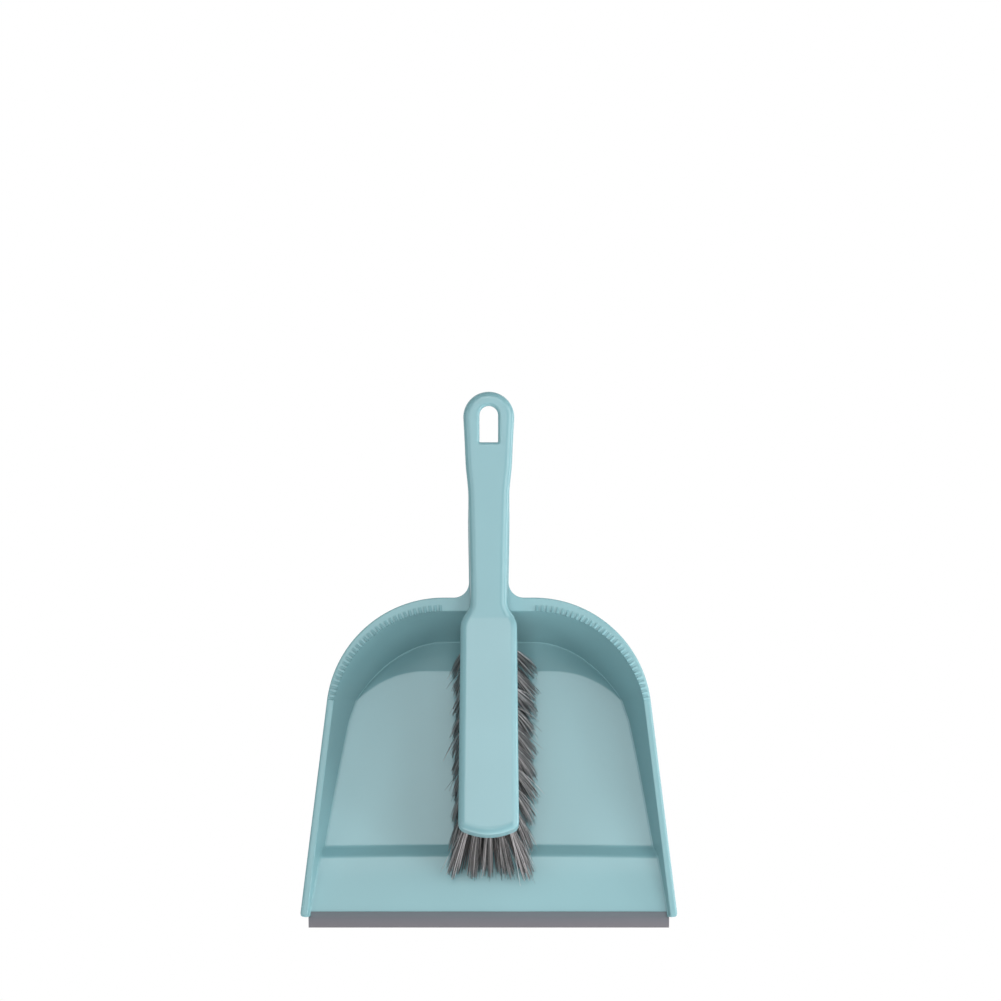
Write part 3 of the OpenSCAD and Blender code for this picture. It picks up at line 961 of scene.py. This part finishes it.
def tuft_row(row, material):
    """All the bristles of one crosswise row, as one piece."""
    draw = random.Random(FIRST_SEED + row)
    points, faces = [], []
    root_r = HOLE_R - ROOT_ROOM
    trim = END_TRIM if row == len(tuft_rows) else 0.0
    for index in range(tufts_in(row)):
        matrix = tuft_matrix(row, index)
        side, down = settled(row, index)
        clump = (side + draw.gauss(0, CLUMP_SIDE), down + draw.gauss(0, CLUMP_DOWN))
        centres = strand_centres(draw)
        for i in range(FILAMENTS):
            reach = math.sqrt((i + 0.5) / FILAMENTS)
            angle = i * GOLDEN_ANGLE + draw.uniform(-0.25, 0.25)
            own = (reach * math.cos(angle), reach * math.sin(angle))
            near = min(centres, key=lambda c: (c[0] - own[0]) ** 2 + (c[1] - own[1]) ** 2)
            stray = draw.random() < STRAY_SHARE
            loose = STRAY_LOOSE if stray else LOOSE
            radius = FILAMENT_R * (STRAY_THIN if stray else 1)
            tip = [root_r * SPLAY[k] * lerp(own[k], near[k], STRAND_PULL) + draw.gauss(0, loose)
                   for k in (0, 1)]
            bend = [clump[k] + draw.gauss(0, BEND_LOOSE) for k in (0, 1)]
            length = BRISTLE_LEN + min(0.0, draw.gauss(-SHORTER, SHORTER_LOOSE)) - trim
            root = (root_r * own[0], root_r * own[1])
            faces += tube_faces(len(points), SEGMENTS + 1, SIDES)
            points += filament(matrix, root, tip, length, bend, radius)
    made = make_object(tuft_rows[row - 1] + "_bristles", points, faces)
    made.data.polygons.foreach_set("use_smooth", [True] * len(made.data.polygons))
    return finish_piece(made, "brush", "bristles", material, tuft_rows[row - 1])


# ---- Lip ----


def lip_section():
    """(depth, z) round the lip, which is folded round the ramp's front edge."""
    top_z, tip_z = lip_high.z, lip_low.z
    top, drop = RAMP_DEPTH - LIP_GAP, WALL * math.hypot(1, FLOOR_SLOPE)
    under = ramp_at(top_z) + drop + LIP_GAP
    ground = floor_depth(tip_z) + drop
    outside = filleted(
        [(top, top_z), (top - LIP_T, top_z), (top - LIP_T, FRONT_Z), (top - 0.2, FRONT_Z - 1.6),
         (ground - 0.8, tip_z), (ground, tip_z + 0.2), (under + 1, FRONT_Z),
         (under + 1, top_z), (under, top_z)],
        [0.25, 0.3, 0.5, 0.3, 0.15, 0.4, 0.3])
    return outside + [(under, FRONT_Z - LIP_GAP), (top, FRONT_Z - LIP_GAP)]


def lip(material):
    """The lip. Its upper part grips the ramp and ends at the side walls, the rest is longer."""
    half = (lip_high.x - lip_low.x) / 2
    section = lip_section()
    below = [(y, min(z, FRONT_Z - LIP_GAP)) for y, z in section]
    spread = [(-half, below), (-GRIP_HALF - 0.02, below)]
    spread += [(x, section) for x in np.linspace(-GRIP_HALF, GRIP_HALF, 30)]
    spread += [(GRIP_HALF + 0.02, below), (half, below)]
    points = [(x, y, z) for x, outline in spread for y, z in outline]
    made = make_object("pan_lip_strip", points, tube_faces(0, len(spread), len(section)))
    shade(made, 40)
    return finish_piece(made, "pan", "lip_rubber", material, "pan_lip")


# ---- Materials ----


def new_material(name):
    material = bpy.data.materials.new(name)
    material.use_nodes = True
    nodes = material.node_tree.nodes
    return material, nodes, material.node_tree.links, nodes["Principled BSDF"]


def noise(nodes, links, scale, detail, stretch=(1, 1, 1), roughness=0.5):
    """A noise texture in object space; scale is in features per metre."""
    coordinates = nodes.new("ShaderNodeTexCoord")
    mapping = nodes.new("ShaderNodeMapping")
    mapping.inputs["Scale"].default_value = stretch
    texture = nodes.new("ShaderNodeTexNoise")
    texture.inputs["Scale"].default_value = scale
    texture.inputs["Detail"].default_value = detail
    texture.inputs["Roughness"].default_value = roughness
    links.new(coordinates.outputs["Object"], mapping.inputs["Vector"])
    links.new(mapping.outputs["Vector"], texture.inputs["Vector"])
    return texture.outputs["Fac"]


def ramp(nodes, links, source, stops):
    """A colour ramp with the given (place, colour) stops, fed by source."""
    made = nodes.new("ShaderNodeValToRGB")
    elements = made.color_ramp.elements
    elements[0].position, elements[0].color = stops[0][0], (*stops[0][1], 1)
    elements[1].position, elements[1].color = stops[-1][0], (*stops[-1][1], 1)
    for place, colour in stops[1:-1]:
        elements.new(place).color = (*colour, 1)
    links.new(source, made.inputs["Fac"])
    return made.outputs["Color"]


def scaled_range(nodes, links, source, low, high):
    """A noise value, which mostly lies from 0.1 to 0.9, spread over low to high."""
    made = nodes.new("ShaderNodeMapRange")
    made.inputs["From Min"].default_value = 0.1
    made.inputs["From Max"].default_value = 0.9
    made.inputs["To Min"].default_value = low
    made.inputs["To Max"].default_value = high
    links.new(source, made.inputs["Value"])
    return made.outputs["Result"]


def bump(nodes, links, height, strength, distance, under=None):
    made = nodes.new("ShaderNodeBump")
    made.inputs["Strength"].default_value = strength
    made.inputs["Distance"].default_value = distance
    links.new(height, made.inputs["Height"])
    if under is not None:
        links.new(under, made.inputs["Normal"])
    return made.outputs["Normal"]


def moulded_plastic(name, colour, rough):
    """Glossy polypropylene: faint mottling, faint flow lines and a fine moulded skin."""
    material, nodes, links, shader = new_material(name)
    mottle = noise(nodes, links, scale=22, detail=1)
    dark = [c * 0.97 for c in colour]
    light = [c * 1.03 for c in colour]
    links.new(ramp(nodes, links, mottle, [(0.1, dark), (0.9, light)]),
              shader.inputs["Base Color"])
    smear = noise(nodes, links, scale=26, detail=1, stretch=(1, 1, 0.35))
    links.new(scaled_range(nodes, links, smear, rough * 0.9, rough * 1.1),
              shader.inputs["Roughness"])
    swell = noise(nodes, links, scale=30, detail=0)
    waves = bump(nodes, links, swell, strength=0.03, distance=0.0006)
    pores = noise(nodes, links, scale=1500, detail=2)
    skin = bump(nodes, links, pores, strength=0.06, distance=0.00008, under=waves)
    links.new(skin, shader.inputs["Normal"])
    shader.inputs["IOR"].default_value = 1.49
    return material


def lip_rubber():
    """Soft grey rubber: bluish on the ramp, browner towards its wiping edge, with fine lines."""
    material, nodes, links, shader = new_material("lip_rubber")
    coordinates = nodes.new("ShaderNodeTexCoord")
    split = nodes.new("ShaderNodeSeparateXYZ")
    links.new(coordinates.outputs["Object"], split.inputs["Vector"])
    height = nodes.new("ShaderNodeMapRange")
    height.inputs["From Min"].default_value = lip_low.z * MM
    height.inputs["From Max"].default_value = lip_high.z * MM
    links.new(split.outputs["Z"], height.inputs["Value"])
    blotch = noise(nodes, links, scale=30, detail=3, stretch=(0.4, 1, 2))
    jitter = nodes.new("ShaderNodeMath")
    jitter.operation = "MULTIPLY_ADD"
    jitter.inputs[1].default_value = 0.25
    links.new(blotch, jitter.inputs[0])
    links.new(height.outputs["Result"], jitter.inputs[2])
    links.new(ramp(nodes, links, jitter.outputs["Value"], [
        (0.12, (0.186, 0.178, 0.196)), (0.55, (0.166, 0.168, 0.190)),
        (1.0, (0.138, 0.165, 0.186))]), shader.inputs["Base Color"])
    lines = noise(nodes, links, scale=60, detail=2, stretch=(0.03, 1, 14))
    pores = noise(nodes, links, scale=2600, detail=2)
    grain = bump(nodes, links, pores, strength=0.15, distance=0.00006)
    skin = bump(nodes, links, lines, strength=0.3, distance=0.0003, under=grain)
    links.new(skin, shader.inputs["Normal"])
    shader.inputs["Roughness"].default_value = 0.55
    shader.inputs["IOR"].default_value = 1.5
    return material


def bristle_fibre(name, stops):
    """Nylon fibres with a soft gloss, each with its own grey from the (share, grey) stops."""
    material, nodes, links, shader = new_material(name)
    geometry = nodes.new("ShaderNodeNewGeometry")
    greys = [(share, (grey, grey * 0.955, grey * 0.97)) for share, grey in stops]
    links.new(ramp(nodes, links, geometry.outputs["Random Per Island"], greys),
              shader.inputs["Base Color"])
    wear = noise(nodes, links, scale=900, detail=1)
    links.new(scaled_range(nodes, links, wear, 0.35, 0.5), shader.inputs["Roughness"])
    shader.inputs["IOR"].default_value = 1.53
    return material


def anchor_steel():
    """Bright steel strip with fine drawing marks."""
    material, nodes, links, shader = new_material("anchor_steel")
    marks = noise(nodes, links, scale=4000, detail=2, stretch=(0.1, 1, 1))
    links.new(ramp(nodes, links, marks, [(0.3, (0.55, 0.55, 0.57)), (0.7, (0.72, 0.72, 0.74))]),
              shader.inputs["Base Color"])
    links.new(scaled_range(nodes, links, marks, 0.25, 0.4), shader.inputs["Roughness"])
    shader.inputs["Metallic"].default_value = 1.0
    return material


# ---- The object ----

pan_plastic = moulded_plastic("pan_plastic", (0.255, 0.475, 0.515), 0.20)
brush_plastic = moulded_plastic("brush_plastic", (0.255, 0.475, 0.520), 0.18)
light_fibre = bristle_fibre(
    "bristle_fibre", [(0.0, 0.028), (0.42, 0.140), (0.74, 0.43), (1.0, 0.78)])
# A darker copy of the same fibre: painted shade for the rows of four, which stand in shadow between
# and behind the rows of five
painted_shade_fibre = bristle_fibre(
    "bristle_fibre_painted_shade", [(0.0, 0.012), (0.42, 0.060), (0.74, 0.21), (1.0, 0.45)])

pan_moulding(pan_plastic)
brush_moulding(brush_plastic)
lip(lip_rubber())
# The rows of four take the darker copy, so their shade is painted into the fibre's colour
for number in range(1, len(tuft_rows) + 1):
    tuft_row(number, light_fibre if tufts_in(number) == 5 else painted_shade_fibre)
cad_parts["tuft_anchors"].data.materials.clear()
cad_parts["tuft_anchors"].data.materials.append(anchor_steel())

# ---- Stage, light and camera, in metres ----


def backdrop_material():
    material, nodes, links, shader = new_material("pale_floor")
    links.new(ramp(nodes, links, noise(nodes, links, 3, 2),
                   [(0.3, (0.80, 0.80, 0.79)), (0.7, (0.84, 0.84, 0.83))]),
              shader.inputs["Base Color"])
    shader.inputs["Roughness"].default_value = 0.8
    return material


def stage_floor():
    height, radius, sides = -1.6, 2.2, 64
    made = make_object("floor", [(radius / MM * math.cos(a), radius / MM * math.sin(a), height / MM)
                                 for a in np.linspace(0, 2 * math.pi, sides, endpoint=False)],
                       [tuple(range(sides))])
    made.data.materials.append(backdrop_material())


def area_light(name, azimuth, elevation, distance, size, power, colour=(1, 1, 1)):
    """A soft light aimed at the middle of the object. Azimuth 0 is in front, 90 to the right."""
    middle = Vector((0, 0, -0.16))
    a, e = math.radians(azimuth), math.radians(elevation)
    away = Vector((math.sin(a) * math.cos(e), -math.cos(a) * math.cos(e), math.sin(e)))
    lamp = bpy.data.lights.new(name, "AREA")
    lamp.shape = "RECTANGLE"
    lamp.size, lamp.size_y = size
    lamp.energy = power
    lamp.color = colour
    made = bpy.data.objects.new(name, lamp)
    made.location = middle + away * distance
    made.rotation_euler = away.to_track_quat("Z", "Y").to_euler()
    bpy.context.scene.collection.objects.link(made)


def white_world(camera_grey, front_grey, wall_grey):
    """White for the camera. On the object, dim from the front and bright from the wall behind."""
    world = bpy.data.worlds.new("studio")
    world.use_nodes = True
    nodes, links = world.node_tree.nodes, world.node_tree.links
    background = nodes["Background"]
    background.inputs["Color"].default_value = (1, 1, 1, 1)
    direction = nodes.new("ShaderNodeTexCoord")
    split = nodes.new("ShaderNodeSeparateXYZ")
    links.new(direction.outputs["Generated"], split.inputs["Vector"])
    room = nodes.new("ShaderNodeMapRange")
    room.interpolation_type = "SMOOTHSTEP"
    room.inputs["From Max"].default_value = 0.5
    room.inputs["To Min"].default_value = front_grey
    room.inputs["To Max"].default_value = wall_grey
    links.new(split.outputs["Y"], room.inputs["Value"])
    path = nodes.new("ShaderNodeLightPath")
    mix = nodes.new("ShaderNodeMapRange")
    mix.inputs["To Max"].default_value = camera_grey
    links.new(room.outputs["Result"], mix.inputs["To Min"])
    links.new(path.outputs["Is Camera Ray"], mix.inputs["Value"])
    links.new(mix.outputs["Result"], background.inputs["Strength"])
    bpy.context.scene.world = world


stage_floor()
white_world(camera_grey=1.0, front_grey=0.085, wall_grey=1.0)
# Each light has its azimuth, elevation, distance, (width, height) and power.
area_light("front_soft", -8, 4, 2.6, (1.3, 1.3), 11.8)
area_light("right_key", 80, -8, 0.9, (0.25, 0.9), 4.3)
area_light("right_front", 38, 8, 1.4, (0.7, 1.0), 7.1)
area_light("right_low", 60, -28, 1.2, (0.3, 0.3), 2.8)
area_light("left_front", -42, 0, 1.5, (0.5, 1.0), 3.1)
area_light("upper_panel", 0, 28, 2.0, (1.1, 0.7), 9.0)
area_light("under_panel", 180, -75, 1.0, (1.0, 1.0), 5.8)
area_light("back_soft_left", 150, 20, 2.2, (1.2, 1.2), 5)
area_light("back_soft_right", -150, 15, 2.2, (1.2, 1.2), 3)

camera_data = bpy.data.cameras.new("camera")
camera_distance, frame_width = 3.0, 0.6206
frame_x, frame_z = 0.00725, -0.0526
sensor = 36
camera_data.sensor_width = sensor
camera_data.lens = sensor * camera_distance / frame_width
camera_data.clip_end = 50
camera = bpy.data.objects.new("camera", camera_data)
camera.location = (frame_x, -camera_distance, frame_z)
camera.rotation_euler = (math.pi / 2, 0, 0)
bpy.context.scene.collection.objects.link(camera)
bpy.context.scene.camera = camera
bpy.context.scene.view_settings.view_transform = "Standard"
